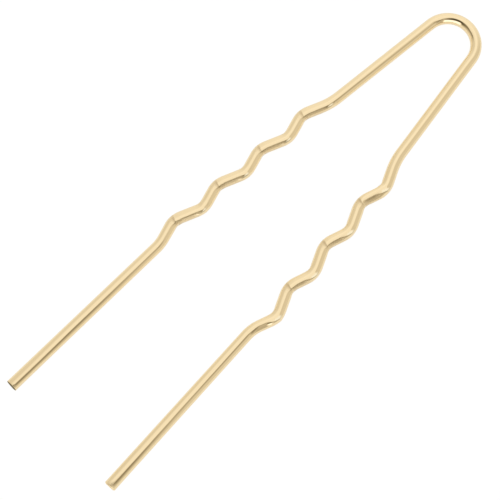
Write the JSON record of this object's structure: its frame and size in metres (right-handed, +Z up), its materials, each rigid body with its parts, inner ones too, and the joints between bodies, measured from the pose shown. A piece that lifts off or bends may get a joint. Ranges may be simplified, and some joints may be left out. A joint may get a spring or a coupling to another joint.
{
  "type": "hairpin",
  "caption": "U-shaped hairpin of round gold-finish wire with a narrow bend, flared legs crimped in waves, and straight tails.",
  "frame": {"origin": "on the surface that the pin lies on, under the pin's own axis at the middle of its length", "axes": "+Y along the pin from the tips to the bend, +Z up out of the plane that the wire is bent in, +X to the right leg when the bend is ahead"},
  "size_m": [0.0187, 0.0737, 0.0014],
  "materials": {
    "gold_wire": "polished light-gold plating on steel wire"
  },
  "bodies": {
    "root": {"pin_wire": "gold_wire"}
  },
  "joints": []
}
